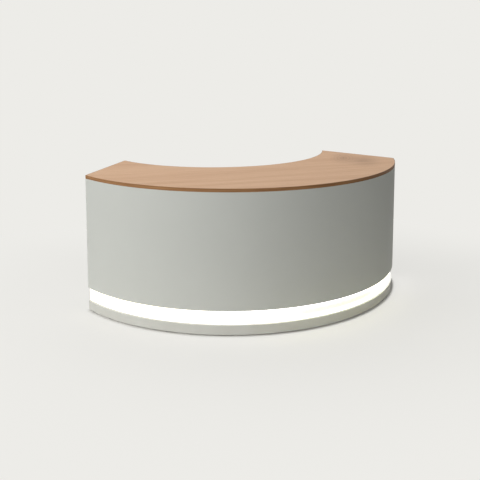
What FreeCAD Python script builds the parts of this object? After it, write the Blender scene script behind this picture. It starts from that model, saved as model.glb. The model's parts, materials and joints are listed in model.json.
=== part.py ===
import FreeCAD, Part
import math
import os
import re
import Sketcher

# Curved reception desk: a crescent worktop on four upright panels, with a bent front panel and a lit band
# above the plinth.
# The front faces -Y, the floor is Z = 0, and plan outlines are drawn about the centre of the front arc.

DRAWERS = 3
SHELVES = 2
EXPORT_FOLDER = "parts"

# Driving sizes, in millimetres and degrees
SIZES = [
    ("overall_height", 750, "floor to the upper face of the worktop"),
    ("outer_radius", 986, "front arc of the worktop and front panel"),
    ("inner_radius", 693, "staff-side arc of the worktop"),
    ("inner_setback", 332, "staff-side arc centre behind the front arc centre"),
    ("half_width", 921, "symmetry plane to an outer end corner"),
    ("end_angle", 34.4, "end faces, measured from the symmetry plane"),
    ("top_thickness", 18, "worktop board"),
    ("edging_thickness", 2, "edge band round the worktop"),
    ("front_thickness", 18, "bent front panel"),
    ("front_bottom", 131, "lower edge of the front panel"),
    ("plinth_top", 56, "upper edge of the plinth"),
    ("plinth_setback", 4, "plinth face behind the front panel face"),
    ("plinth_thickness", 18, "bent plinth"),
    ("floor_gap", 7, "shadow gap under the plinth and panels"),
    ("light_setback", 14, "diffuser face behind the front panel face"),
    ("diffuser_thickness", 3, "opal strip"),
    ("channel_depth", 15, "light channel, front lips to back"),
    ("channel_wall", 2, "light channel sheet"),
    ("light_end_inset", 5, "light channel short of the end faces"),
    ("tape_width", 10, "light tape"),
    ("tape_thickness", 1, "light tape"),
    ("panel_thickness", 18, "upright panels, shelves and base boards"),
    ("panel_inset", 30, "staff-side edge of the panels inside the worktop"),
    ("cabinet_width", 380, "clear width between end panel and inner panel"),
    ("rib_depth", 120, "centre rib, from the front arc back"),
    ("kick_setback", 40, "kick board behind the drawer faces"),
    ("face_setback", 5, "drawer faces behind the inner panel's edge"),
    ("drawer_front_thickness", 18, "drawer fronts"),
    ("drawer_gap", 3, "gap round each drawer front"),
    ("drawer_back_clearance", 15, "drawer box to the bent front panel"),
    ("drawer_wall", 12, "drawer box sides"),
    ("drawer_floor", 8, "drawer box bottom"),
    ("drawer_lift", 14, "drawer box above the lower edge of its front"),
    ("drawer_drop", 50, "drawer box below the upper edge of its front"),
    ("runner_space", 12.5, "cabinet side to drawer box"),
    ("runner_height", 36, "fixed runner channel"),
    ("runner_lip", 9, "fixed runner channel, wall to lip"),
    ("runner_wall", 1.5, "fixed runner sheet"),
    ("runner_play", 0.5, "slider inside its channel"),
    ("runner_rise", 40, "runner above the bottom of the drawer box"),
    ("pull_length", 140, "drawer pull, end to end"),
    ("pull_reach", 28, "drawer pull, standing out of the front"),
    ("pull_bar", 10, "drawer pull section"),
    ("pull_bevel", 1.5, "drawer pull edges"),
    ("shelf_play", 0.5, "shelf to each cabinet side"),
    ("shelf_back_play", 2, "shelf to the bent front panel"),
    ("support_leg", 16, "shelf support angle"),
    ("bracket_leg", 30, "worktop bracket"),
    ("bracket_width", 24, "worktop brackets and shelf supports"),
    ("bracket_sheet", 2, "worktop brackets and shelf supports"),
    ("bracket_inset", 70, "brackets and supports from the ends of a cabinet"),
    ("foot_flats", 30, "levelling foot pad, across its flats"),
    ("foot_bevel", 1, "levelling foot pad edges"),
    ("foot_play", 0.3, "pad below its insert when screwed right in"),
    ("foot_inset", 60, "levelling foot from the end of its panel"),
    ("stud_radius", 4, "levelling foot screw"),
    ("stud_length", 30, "levelling foot screw above the pad"),
    ("stud_play", 0.1, "screw inside its insert"),
    ("insert_radius", 6, "threaded insert barrel"),
    ("insert_length", 14, "threaded insert barrel"),
    ("insert_flange", 1.5, "threaded insert flange"),
    ("insert_flats", 17, "threaded insert flange, across its flats"),
    ("hole_spare", 3, "insert hole above the screw"),
    ("driver_length", 150, "light driver case"),
    ("driver_depth", 36, "light driver case, off the panel"),
    ("driver_height", 56, "light driver case"),
    ("driver_drop", 40, "light driver case under the worktop"),
    ("driver_inset", 90, "light driver case behind the front panel"),
    ("driver_bevel", 2, "light driver case edges"),
    ("rocker_width", 12, "switch rocker"),
    ("rocker_height", 20, "switch rocker"),
    ("rocker_depth", 5, "switch rocker behind the case end"),
    ("rocker_rise", 2, "raised half of the rocker past the case end"),
    ("rocker_play", 0.8, "rocker to the ends of its window"),
    ("rocker_side_play", 0.3, "rocker to the sides of its window"),
    ("rocker_swing", 2.5, "room behind the rocker"),
    ("rocker_taper", 1.5, "rocker ends drawn in at the back"),
    ("rocker_from_floor", 38, "rocker centre above the case bottom"),
    ("gland_flats", 16, "supply gland, across its flats"),
    ("gland_length", 18, "supply gland"),
    ("gland_bore", 3.6, "supply gland bore"),
    ("gland_from_floor", 14, "supply gland axis above the case bottom"),
    ("gland_bevel", 1.5, "supply gland edges"),
    ("lead_radius", 2.5, "lead from driver to light channel"),
    ("lead_bend", 40, "lead bend"),
    ("lead_clear", 4, "lead off the panel"),
    ("lead_end_gap", 0.5, "lead end to the light channel"),
    ("clip_width", 14, "lead clip"),
    ("clip_height", 10, "lead clip"),
    ("clip_wall", 2, "lead clip round the lead"),
]

# Places that follow from the sizes
PLACES = [
    ("underside", "overall_height - top_thickness"),
    ("front_corner", "sqrt(outer_radius ^ 2 - half_width ^ 2)"),
    ("end_distance", "half_width * cos(end_angle) - front_corner * sin(end_angle)"),
    ("staff_x", "inner_setback * sin(end_angle)"),
    ("staff_y", "inner_setback * cos(end_angle)"),
    ("rear_run", "staff_y - sqrt(inner_radius ^ 2 - (end_distance - staff_x) ^ 2)"),
    ("rear_corner", "end_distance * sin(end_angle) + rear_run * cos(end_angle)"),
    ("arc_centre", "(outer_radius - rear_corner) / 2"),
    ("board_outer", "outer_radius - edging_thickness"),
    ("board_inner", "inner_radius + edging_thickness"),
    ("board_end", "end_distance - edging_thickness"),
    ("front_back", "outer_radius - front_thickness"),
    ("plinth_face", "outer_radius - plinth_setback"),
    ("plinth_back", "plinth_face - plinth_thickness"),
    ("diffuser_face", "outer_radius - light_setback"),
    ("lip_face", "diffuser_face - diffuser_thickness"),
    ("light_back", "lip_face - channel_depth"),
    ("web_face", "light_back + channel_wall"),
    ("light_end", "end_distance - light_end_inset"),
    ("light_height", "front_bottom - plinth_top"),
    ("panel_staff", "inner_radius + panel_inset"),
    ("far_side", "end_distance - panel_thickness"),
    ("near_side", "far_side - cabinet_width"),
    ("knee_side", "near_side - panel_thickness"),
    ("end_panel_middle", "end_distance - panel_thickness / 2"),
    ("inner_panel_middle", "near_side - panel_thickness / 2"),
    ("inner_panel_rear", "staff_y - sqrt(panel_staff ^ 2 - (near_side - staff_x) ^ 2)"),
    ("face_line", "inner_panel_rear - face_setback"),
    ("base_top", "front_bottom + panel_thickness"),
    ("drawer_pitch", f"(underside - base_top - drawer_gap) / {DRAWERS}"),
    ("drawer_height", "drawer_pitch - drawer_gap - drawer_lift - drawer_drop"),
    ("box_front", "face_line - drawer_front_thickness"),
    ("box_back", "drawer_back_clearance - sqrt(front_back ^ 2 - far_side ^ 2)"),
    ("slider_height", "runner_height - 2 * runner_wall - 2 * runner_play"),
    ("shelf_pitch", f"(underside - base_top) / {SHELVES + 1}"),
    ("shelf_back", "front_back - shelf_back_play"),
    ("foot_top", "floor_gap - insert_flange - foot_play"),
    ("driver_front", "driver_inset - sqrt(front_back ^ 2 - knee_side ^ 2)"),
    ("driver_rear", "driver_front + driver_length"),
    ("driver_floor", "underside - driver_drop - driver_height"),
    ("driver_middle", "knee_side - driver_depth / 2"),
    ("lead_across", "knee_side - lead_clear - lead_radius"),
    ("lead_down", "driver_front + driver_length / 4"),
    ("lead_level", "(plinth_top + front_bottom) / 2"),
    ("lead_end", "lead_end_gap - sqrt(light_back ^ 2 - (lead_across + lead_radius) ^ 2)"),
]

doc = FreeCAD.newDocument("ReceptionDesk")
sheet = doc.addObject("Spreadsheet::Sheet", "Sizes")
aliases = set()
nodes = []


def fill_sheet():
    """Write the driving sizes as plain numbers, then the places that follow from them."""
    rows = [(alias, str(value), note) for alias, value, note in SIZES]
    rows += [(alias, "=" + formula, "follows from the sizes") for alias, formula in PLACES]
    for row, (alias, content, note) in enumerate(rows, start=1):
        sheet.set(f"A{row}", note)
        sheet.set(f"B{row}", content)
        sheet.setAlias(f"B{row}", alias)
        aliases.add(alias)
    doc.recompute()


def linked(formula):
    """The formula with each size named as a cell of the sheet."""
    return re.sub(r"[a-z]\w*", lambda word: "Sizes." + word[0] if word[0] in aliases else word[0], formula)


def value_of(formula):
    """The formula's number, worked out by the sheet in a spare cell."""
    sheet.set("D1", "=" + formula)
    sheet.recompute()
    return float(sheet.get("D1"))


def bind(thing, field, formula):
    thing.setExpression(field, linked(formula))


def place(thing, turn=0, level="0"):
    """Put a sub-part on the arc centre, turned to the middle (0), the right end (1) or the left end (-1)."""
    spin = FreeCAD.Rotation(FreeCAD.Vector(0, 0, turn or 1), 0)
    thing.Placement = FreeCAD.Placement(FreeCAD.Vector(0, 0, 0), spin)
    bind(thing, "Placement.Base.y", "arc_centre")
    bind(thing, "Placement.Base.z", level)
    if turn:
        spin = FreeCAD.Rotation(FreeCAD.Vector(0, 0, turn), value_of("end_angle"))
        thing.Placement = FreeCAD.Placement(FreeCAD.Vector(0, 0, 0), spin)
        bind(thing, "Placement.Rotation.Angle", "end_angle")


def new_body(label, turn=0, level="0"):
    body = doc.addObject("PartDesign::Body", label)
    body.Label = label
    place(body, turn, level)
    return body


def keep(thing):
    """Count the finished object as a sub-part that is written out under its label."""
    nodes.append(thing)
    return thing


def group(label, members):
    """Several like solids as one sub-part."""
    bundle = doc.addObject("Part::Compound", label)
    bundle.Label = label
    bundle.Links = members
    return keep(bundle)


def new_sketch(body, plane, lift, shift="0"):
    """An empty sketch on one of the body's own planes, moved along that plane's normal and across it."""
    sketch = body.newObject("Sketcher::SketchObject", body.Label + "_sketch")
    support = [item for item in body.Origin.OriginFeatures if item.Role == plane][0]
    sketch.AttachmentSupport = [(support, "")]
    sketch.MapMode = "FlatFace"
    bind(sketch, "AttachmentOffset.Base.x", shift)
    bind(sketch, "AttachmentOffset.Base.z", lift)
    return sketch


def set_size(sketch, formula, kind, *where):
    """Add one dimension to a sketch and bind it to the sheet."""
    amount = value_of(formula)
    angle = kind == "Angle"
    start = math.radians(amount) if angle else amount
    number = sketch.addConstraint(Sketcher.Constraint(kind, *where, start))
    name = f"size_{number}"
    sketch.renameConstraint(number, name)
    bind(sketch, f"Constraints.{name}", f"({formula}) * 1 deg" if angle else formula)


def join(sketch, *ends):
    sketch.addConstraint(Sketcher.Constraint("Coincident", *ends))


def pin_point(sketch, curve, end, across, along):
    """Fix a point of a sketch at two distances from the sketch origin."""
    for kind, formula, axis in (("DistanceX", across, -2), ("DistanceY", along, -1)):
        if abs(value_of(formula)) < 1e-9:
            sketch.addConstraint(Sketcher.Constraint("PointOnObject", curve, end, axis))
        else:
            set_size(sketch, formula, kind, -1, 1, curve, end)


def outline(body, plane, corners, lift="0", shift="0"):
    """A closed straight-sided outline through corners given as pairs of formulas."""
    sketch = new_sketch(body, plane, lift, shift)
    points = [FreeCAD.Vector(value_of(across), value_of(along), 0) for across, along in corners]
    for here, there in zip(points, points[1:] + points[:1]):
        sketch.addGeometry(Part.LineSegment(here, there), False)
    for number, (across, along) in enumerate(corners):
        join(sketch, number, 2, (number + 1) % len(corners), 1)
        pin_point(sketch, number, 1, across, along)
    return sketch


def rectangle(body, plane, low, high, lift="0"):
    corners = [(low[0], low[1]), (high[0], low[1]), (high[0], high[1]), (low[0], high[1])]
    return outline(body, plane, corners, lift)


def hexagon(body, plane, centre, flats, lift="0"):
    """A hexagon about a centre, measured across its flats."""
    across, along = centre
    turns = [f"{side} * 60" for side in range(6)]
    reach = f"{flats} / sqrt(3)"
    corners = [(f"{across} + {reach} * cos({turn})", f"{along} + {reach} * sin({turn})") for turn in turns]
    return outline(body, plane, corners, lift)


def add_circle(sketch, centre, radius):
    middle = FreeCAD.Vector(value_of(centre[0]), value_of(centre[1]), 0)
    curve = sketch.addGeometry(Part.Circle(middle, FreeCAD.Vector(0, 0, 1), value_of(radius)), False)
    pin_point(sketch, curve, 3, *centre)
    set_size(sketch, radius, "Radius", curve)


def arc_between(sketch, centre, radius, first, last):
    """An arc from first to last, drawn anticlockwise past the front, about a centre given as formulas."""
    middle = FreeCAD.Vector(value_of(centre[0]), value_of(centre[1]), 0)
    full = Part.Circle(middle, FreeCAD.Vector(0, 0, 1), value_of(radius))
    angles = [math.atan2(point.y - middle.y, point.x - middle.x) for point in (first, last)]
    if angles[1] < angles[0]:
        angles[1] += 2 * math.pi
    return sketch.addGeometry(Part.ArcOfCircle(full, *angles), False)


def crossing(radius, centre, normal, distance):
    """Front crossing of a circle with the straight line at a distance from the origin along a unit normal."""
    along = FreeCAD.Vector(-normal.y, normal.x, 0)
    if along.y < 0:
        along = along * -1
    reach = math.sqrt(radius ** 2 - (distance - normal.dot(centre)) ** 2)
    return normal * distance + along * (along.dot(centre) - reach)


def crescent(body, outer, inner, end, outer_centre="0", inner_centre="0", lift="0"):
    """Outline between two arcs centred on the symmetry plane, cut off by both slanting end planes."""
    sketch = new_sketch(body, "XY_Plane", lift)
    lean = math.radians(value_of("end_angle"))
    distance = value_of(end)
    outer_middle = FreeCAD.Vector(0, value_of(outer_centre), 0)
    inner_middle = FreeCAD.Vector(0, value_of(inner_centre), 0)
    corners = []
    for side in (-1, 1):
        normal = FreeCAD.Vector(side * math.cos(lean), math.sin(lean), 0)
        front = crossing(value_of(outer), outer_middle, normal, distance)
        back = crossing(value_of(inner), inner_middle, normal, distance)
        corners.append((front, back))
    (left_front, left_back), (right_front, right_back) = corners
    front_arc = arc_between(sketch, ("0", outer_centre), outer, left_front, right_front)
    back_arc = arc_between(sketch, ("0", inner_centre), inner, left_back, right_back)
    left = sketch.addGeometry(Part.LineSegment(left_front, left_back), False)
    right = sketch.addGeometry(Part.LineSegment(right_front, right_back), False)
    pin_point(sketch, front_arc, 3, "0", outer_centre)
    pin_point(sketch, back_arc, 3, "0", inner_centre)
    for line, end_of_arc, slope in ((left, 1, "90 - end_angle"), (right, 2, "90 + end_angle")):
        join(sketch, line, 1, front_arc, end_of_arc)
        join(sketch, line, 2, back_arc, end_of_arc)
        set_size(sketch, slope, "Angle", line)
        set_size(sketch, end, "Distance", -1, 1, line)
    set_size(sketch, outer, "Radius", front_arc)
    set_size(sketch, inner, "Radius", back_arc)
    return sketch


def bay(body, outer, low, high, rear, lift="0", rear_centre=None):
    """Outline between two parallel sides, with an arc at the front and a straight or curved rear edge.

    A straight rear edge is a distance along Y. A curved one is a radius about rear_centre.
    """
    sketch = new_sketch(body, "XY_Plane", lift)
    origin = FreeCAD.Vector(0, 0, 0)
    across = FreeCAD.Vector(1, 0, 0)
    fronts = [crossing(value_of(outer), origin, across, value_of(side)) for side in (low, high)]
    front_arc = arc_between(sketch, ("0", "0"), outer, *fronts)
    if rear_centre:
        middle = FreeCAD.Vector(value_of(rear_centre[0]), value_of(rear_centre[1]), 0)
        rears = [crossing(value_of(rear), middle, across, value_of(side)) for side in (low, high)]
        rear_edge = arc_between(sketch, rear_centre, rear, *rears)
        pin_point(sketch, rear_edge, 3, *rear_centre)
        set_size(sketch, rear, "Radius", rear_edge)
    else:
        rears = [FreeCAD.Vector(value_of(side), value_of(rear), 0) for side in (low, high)]
        rear_edge = sketch.addGeometry(Part.LineSegment(*rears), False)
        sketch.addConstraint(Sketcher.Constraint("Horizontal", rear_edge))
        set_size(sketch, rear, "DistanceY", -1, 1, rear_edge, 1)
    for number, side in enumerate((low, high)):
        line = sketch.addGeometry(Part.LineSegment(fronts[number], rears[number]), False)
        sketch.addConstraint(Sketcher.Constraint("Vertical", line))
        join(sketch, line, 1, front_arc, number + 1)
        join(sketch, line, 2, rear_edge, number + 1)
        set_size(sketch, side, "DistanceX", -1, 1, line, 1)
    join(sketch, front_arc, 3, -1, 1)
    set_size(sketch, outer, "Radius", front_arc)
    return sketch


def pad(body, sketch, length, both_ways=False):
    feature = body.newObject("PartDesign::Pad", body.Label + "_pad")
    feature.Profile = sketch
    feature.Midplane = both_ways
    bind(feature, "Length", length)
    return feature


def pocket(body, sketch, depth, reverse=False):
    """Cut an outline into the solid, and stop if nothing was cut."""
    body.recompute(True)
    before = body.Shape.Volume
    feature = body.newObject("PartDesign::Pocket", body.Label + "_pocket")
    feature.Profile = sketch
    feature.Reversed = reverse
    bind(feature, "Length", depth)
    body.recompute(True)
    if body.Shape.Volume >= before:
        raise RuntimeError(f"{body.Label}: the pocket cuts nothing")
    return feature


def bevel_edges(body, feature, size):
    """Bevel every edge of a feature."""
    body.recompute(True)
    bevel = body.newObject("PartDesign::Chamfer", body.Label + "_bevel")
    bevel.Base = (feature, [f"Edge{number + 1}" for number in range(len(feature.Shape.Edges))])
    bind(bevel, "Size", size)
    body.Tip = bevel
    return bevel


def mirrored(formula, side):
    """A distance across a cabinet, on the right (1) or the left (-1)."""
    return formula if side > 0 else f"-({formula})"


def span(low, high, side):
    """Two distances across a cabinet in rising order on either side of the desk."""
    return (low, high) if side > 0 else (mirrored(high, side), mirrored(low, side))


def make_worktop():
    """The crescent board and the band on each of its edges."""
    behind = "inner_setback"
    board = keep(new_body("worktop", level="underside"))
    plan = crescent(board, "board_outer", "board_inner", "board_end", inner_centre=behind)
    pad(board, plan, "top_thickness")
    front = keep(new_body("worktop_front_edging", level="underside"))
    pad(front, crescent(front, "outer_radius", "board_outer", "board_end"), "top_thickness")
    rear = keep(new_body("worktop_rear_edging", level="underside"))
    pad(rear, crescent(rear, "board_inner", "inner_radius", "board_end", behind, behind), "top_thickness")
    for name, side in (("left", -1), ("right", 1)):
        end = keep(new_body(f"worktop_{name}_edging", side, "underside"))
        low, high = span("board_end", "end_distance", side)
        staff = (mirrored("staff_x", side), "staff_y")
        pad(end, bay(end, "outer_radius", low, high, "inner_radius", rear_centre=staff), "top_thickness")


def make_front():
    """Bent front panel and plinth, with the light channel, tape and diffuser in the band between them."""
    front = keep(new_body("front_panel", level="front_bottom"))
    pad(front, crescent(front, "outer_radius", "front_back", "end_distance"), "underside - front_bottom")
    plinth = keep(new_body("plinth_panel", level="floor_gap"))
    pad(plinth, crescent(plinth, "plinth_face", "plinth_back", "end_distance"), "plinth_top - floor_gap")
    channel = keep(new_body("light_channel", level="plinth_top"))
    pad(channel, crescent(channel, "web_face", "light_back", "light_end"), "light_height")
    for lift in ("0", "light_height - channel_wall"):
        pad(channel, crescent(channel, "lip_face", "light_back", "light_end", lift=lift), "channel_wall")
    tape = keep(new_body("led_tape", level="lead_level - tape_width / 2"))
    pad(tape, crescent(tape, "web_face + tape_thickness", "web_face", "light_end"), "tape_width")
    diffuser = keep(new_body("light_diffuser", level="plinth_top"))
    pad(diffuser, crescent(diffuser, "diffuser_face", "lip_face", "light_end"), "light_height")


def stepped_pads(body, low, high, rear, staff):
    """Pads of an upright piece: its front edge steps back for the light channel and the plinth."""
    steps = (
        ("light_back", "0", "underside - floor_gap"),
        ("front_back", "front_bottom - floor_gap", "underside - front_bottom"),
        ("plinth_back", "0", "plinth_top - floor_gap"),
    )
    for outer, lift, height in steps:
        pad(body, bay(body, outer, low, high, rear, lift, staff), height)


def foot_places(middle):
    """Front and rear levelling foot along a panel whose middle lies at a given distance across."""
    front = f"foot_inset - sqrt(plinth_back ^ 2 - ({middle}) ^ 2)"
    rear = f"staff_y - sqrt(panel_staff ^ 2 - ({middle} - staff_x) ^ 2) - foot_inset"
    return ("front", front), ("rear", rear)


def make_foot(label, side, across, along):
    """Levelling foot: a hexagonal pad with its screw."""
    body = keep(new_body(label, side))
    base = pad(body, hexagon(body, "XY_Plane", (across, along), "foot_flats"), "foot_top")
    bevel_edges(body, base, "foot_bevel")
    stud = new_sketch(body, "XY_Plane", "foot_top")
    add_circle(stud, (across, along), "stud_radius")
    pad(body, stud, "stud_length")


def make_insert(label, side, across, along):
    """Threaded insert that the foot turns in: a barrel in the panel and a hexagonal flange under it."""
    body = new_body(label, side, "floor_gap")
    bore = "stud_radius + stud_play"
    flange = hexagon(body, "XY_Plane", (across, along), "insert_flats", "-insert_flange")
    add_circle(flange, (across, along), bore)
    pad(body, flange, "insert_flange")
    barrel = new_sketch(body, "XY_Plane", "0")
    for radius in ("insert_radius", bore):
        add_circle(barrel, (across, along), radius)
    pad(body, barrel, "insert_length")
    return body


def make_uprights():
    """Two end panels, two inner panels and the centre rib, with their levelling feet."""
    inserts = []
    for name, side in (("left", -1), ("right", 1)):
        staff = (mirrored("staff_x", side), "staff_y")
        walls = (
            ("end", "far_side", "end_distance", "end_panel_middle"),
            ("inner", "knee_side", "near_side", "inner_panel_middle"),
        )
        for wall, low, high, middle in walls:
            panel = keep(new_body(f"{name}_{wall}_panel", side, "floor_gap"))
            stepped_pads(panel, *span(low, high, side), "panel_staff", staff)
            across = mirrored(middle, side)
            holes = new_sketch(panel, "XY_Plane", "0")
            for row, along in foot_places(middle):
                add_circle(holes, (across, along), "insert_radius")
                make_foot(f"{name}_{wall}_{row}_foot", side, across, along)
                inserts.append(make_insert(f"{name}_{wall}_{row}_insert", side, across, along))
            pocket(panel, holes, "stud_length + hole_spare", reverse=True)
    group("foot_inserts", inserts)
    rib = keep(new_body("centre_rib", level="floor_gap"))
    stepped_pads(rib, "-panel_thickness / 2", "panel_thickness / 2", "rib_depth - outer_radius", None)


def angle_piece(label, side, wall, towards, top, leg, along):
    """Bent sheet angle with one leg on an upright wall and the other under a board."""
    body = new_body(label, side)
    edge = f"{wall} {towards} {leg}"
    sheet_face = f"{wall} {towards} bracket_sheet"
    corners = [
        (wall, top),
        (edge, top),
        (edge, f"{top} - bracket_sheet"),
        (sheet_face, f"{top} - bracket_sheet"),
        (sheet_face, f"{top} - {leg}"),
        (wall, f"{top} - {leg}"),
    ]
    if side < 0:
        corners = [(mirrored(across, side), height) for across, height in corners]
    pad(body, outline(body, "XZ_Plane", corners, f"-({along})"), "bracket_width", both_ways=True)
    return body


def cabinet_angles(label, side, top, leg):
    """Four angles in a cabinet: front and rear on each side wall."""
    pieces = []
    for wall, towards in (("far_side", "-"), ("near_side", "+")):
        front = f"bracket_inset - sqrt(front_back ^ 2 - {wall} ^ 2)"
        for row, along in (("front", front), ("rear", "face_line - bracket_inset")):
            pieces.append(angle_piece(f"{label}_{wall}_{row}", side, wall, towards, top, leg, along))
    return pieces


def make_cabinets():
    """Base board and kick board of each side cabinet, the left one's shelves, and all the brackets."""
    brackets = []
    for name, side in (("left", -1), ("right", 1)):
        low, high = span("near_side", "far_side", side)
        base = keep(new_body(f"{name}_base_board", side, "front_bottom"))
        pad(base, bay(base, "front_back", low, high, "face_line"), "panel_thickness")
        kick = keep(new_body(f"{name}_kick_board", side, "floor_gap"))
        kick_face = "face_line - kick_setback"
        kick_back = f"{kick_face} - panel_thickness"
        plan = rectangle(kick, "XY_Plane", (low, kick_back), (high, kick_face))
        pad(kick, plan, "front_bottom - floor_gap")
        brackets += cabinet_angles(f"{name}_bracket", side, "underside", "bracket_leg")
    along = "rib_depth / 2 - outer_radius"
    for name, wall, towards in (("left", "-panel_thickness / 2", "-"), ("right", "panel_thickness / 2", "+")):
        label = f"rib_{name}_bracket"
        brackets.append(angle_piece(label, 0, wall, towards, "underside", "bracket_leg", along))
    group("worktop_brackets", brackets)
    supports = []
    low, high = span("near_side + shelf_play", "far_side - shelf_play", -1)
    for number in range(1, SHELVES + 1):
        level = f"base_top + {number} * shelf_pitch - panel_thickness"
        shelf = keep(new_body(f"shelf_{number}", -1, level))
        pad(shelf, bay(shelf, "shelf_back", low, high, "face_line"), "panel_thickness")
        supports += cabinet_angles(f"shelf_{number}_support", -1, level, "support_leg")
    group("shelf_supports", supports)


def make_runner(label, wall, towards, low):
    """Fixed runner: a sheet channel on the cabinet side, open towards the drawer."""
    body = new_body(label, 1)
    lip = f"{wall} {towards} runner_lip"
    web = f"{wall} {towards} runner_wall"
    corners = [
        (wall, low),
        (lip, low),
        (lip, f"{low} + runner_wall"),
        (web, f"{low} + runner_wall"),
        (web, f"{low} + runner_height - runner_wall"),
        (lip, f"{low} + runner_height - runner_wall"),
        (lip, f"{low} + runner_height"),
        (wall, f"{low} + runner_height"),
    ]
    pad(body, outline(body, "XZ_Plane", corners, "-box_front"), "box_front - box_back")
    return body


def make_slider(label, wall, towards, low):
    """Moving runner: a bar on the drawer side that slides in the channel."""
    body = new_body(label, 1)
    bottom = f"{low} + runner_wall + runner_play"
    inside = f"{wall} {towards} runner_space"
    outside = f"{wall} {towards} (runner_wall + runner_play)"
    top = f"{bottom} + slider_height"
    section = rectangle(body, "XZ_Plane", (inside, bottom), (outside, top), "-box_front")
    pad(body, section, "box_front - box_back")
    return body


def make_drawers():
    """Drawers of the right cabinet: box, front, pull and sliders each, in channels on the cabinet sides."""
    channels = []
    middle = "(near_side + far_side) / 2"
    for number in range(DRAWERS):
        name = f"drawer_{DRAWERS - number}"
        front_low = f"(base_top + drawer_gap + {number} * drawer_pitch)"
        front = keep(new_body(f"{name}_front", 1, front_low))
        front_sides = ("near_side + drawer_gap", "far_side - drawer_gap")
        plan = rectangle(front, "XY_Plane", (front_sides[0], "box_front"), (front_sides[1], "face_line"))
        pad(front, plan, "drawer_pitch - drawer_gap")
        box_low = f"({front_low} + drawer_lift)"
        box = keep(new_body(f"{name}_box", 1, box_low))
        box_sides = ("near_side + runner_space", "far_side - runner_space")
        plan = rectangle(box, "XY_Plane", (box_sides[0], "box_back"), (box_sides[1], "box_front"))
        pad(box, plan, "drawer_height")
        inside_low = (f"{box_sides[0]} + drawer_wall", "box_back + drawer_wall")
        inside_high = (f"{box_sides[1]} - drawer_wall", "box_front - drawer_wall")
        hollow = rectangle(box, "XY_Plane", inside_low, inside_high, "drawer_height")
        pocket(box, hollow, "drawer_height - drawer_floor")
        pull = keep(new_body(f"{name}_pull", 1, f"{front_low} + (drawer_pitch - drawer_gap) / 2"))
        ends = (f"{middle} - pull_length / 2", f"{middle} + pull_length / 2")
        corners = [
            (ends[0], "face_line"),
            (ends[0], "face_line + pull_reach"),
            (ends[1], "face_line + pull_reach"),
            (ends[1], "face_line"),
            (f"{ends[1]} - pull_bar", "face_line"),
            (f"{ends[1]} - pull_bar", "face_line + pull_reach - pull_bar"),
            (f"{ends[0]} + pull_bar", "face_line + pull_reach - pull_bar"),
            (f"{ends[0]} + pull_bar", "face_line"),
        ]
        bow = pad(pull, outline(pull, "XY_Plane", corners), "pull_bar", both_ways=True)
        bevel_edges(pull, bow, "pull_bevel")
        runner_low = f"({box_low} + runner_rise)"
        sides = (("far_side", "-"), ("near_side", "+"))
        channels += [make_runner(f"{name}_{wall}_channel", wall, way, runner_low) for wall, way in sides]
        sliders = [make_slider(f"{name}_{wall}_slider", wall, way, runner_low) for wall, way in sides]
        group(f"{name}_sliders", sliders)
    group("drawer_channels", channels)


def make_driver():
    """Light driver on the knee side of the right inner panel: case, switch rocker and supply gland."""
    case = keep(new_body("driver_case", 1, "driver_floor"))
    free_corner = ("knee_side - driver_depth", "driver_front")
    block = pad(case, rectangle(case, "XY_Plane", free_corner, ("knee_side", "driver_rear")), "driver_height")
    bevel_edges(case, block, "driver_bevel")
    half_height = "rocker_height / 2"
    window_side = "(rocker_width / 2 + rocker_side_play)"
    window_rise = f"({half_height} + rocker_play)"
    window_low = (f"driver_middle - {window_side}", f"rocker_from_floor - {window_rise}")
    window_high = (f"driver_middle + {window_side}", f"rocker_from_floor + {window_rise}")
    window = rectangle(case, "XZ_Plane", window_low, window_high, "-driver_rear")
    pocket(case, window, "rocker_depth + rocker_swing", reverse=True)
    rocker = keep(new_body("switch_rocker", 1, "driver_floor + rocker_from_floor"))
    back = "driver_rear - rocker_depth"
    corners = [
        (back, f"rocker_taper - {half_height}"),
        ("driver_rear", f"-{half_height}"),
        ("driver_rear", "0"),
        ("driver_rear + rocker_rise", half_height),
        (back, f"{half_height} - rocker_taper"),
    ]
    pad(rocker, outline(rocker, "YZ_Plane", corners, "driver_middle"), "rocker_width", both_ways=True)
    gland = keep(new_body("supply_gland", 1, "driver_floor + gland_from_floor"))
    axis = ("driver_middle", "0")
    nose = "-(driver_rear + gland_length)"
    nut = pad(gland, hexagon(gland, "XZ_Plane", axis, "gland_flats", nose), "gland_length")
    bevel_edges(gland, nut, "gland_bevel")
    bore = new_sketch(gland, "XZ_Plane", nose)
    add_circle(bore, axis, "gland_bore")
    pocket(gland, bore, "gland_length", reverse=True)


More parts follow.
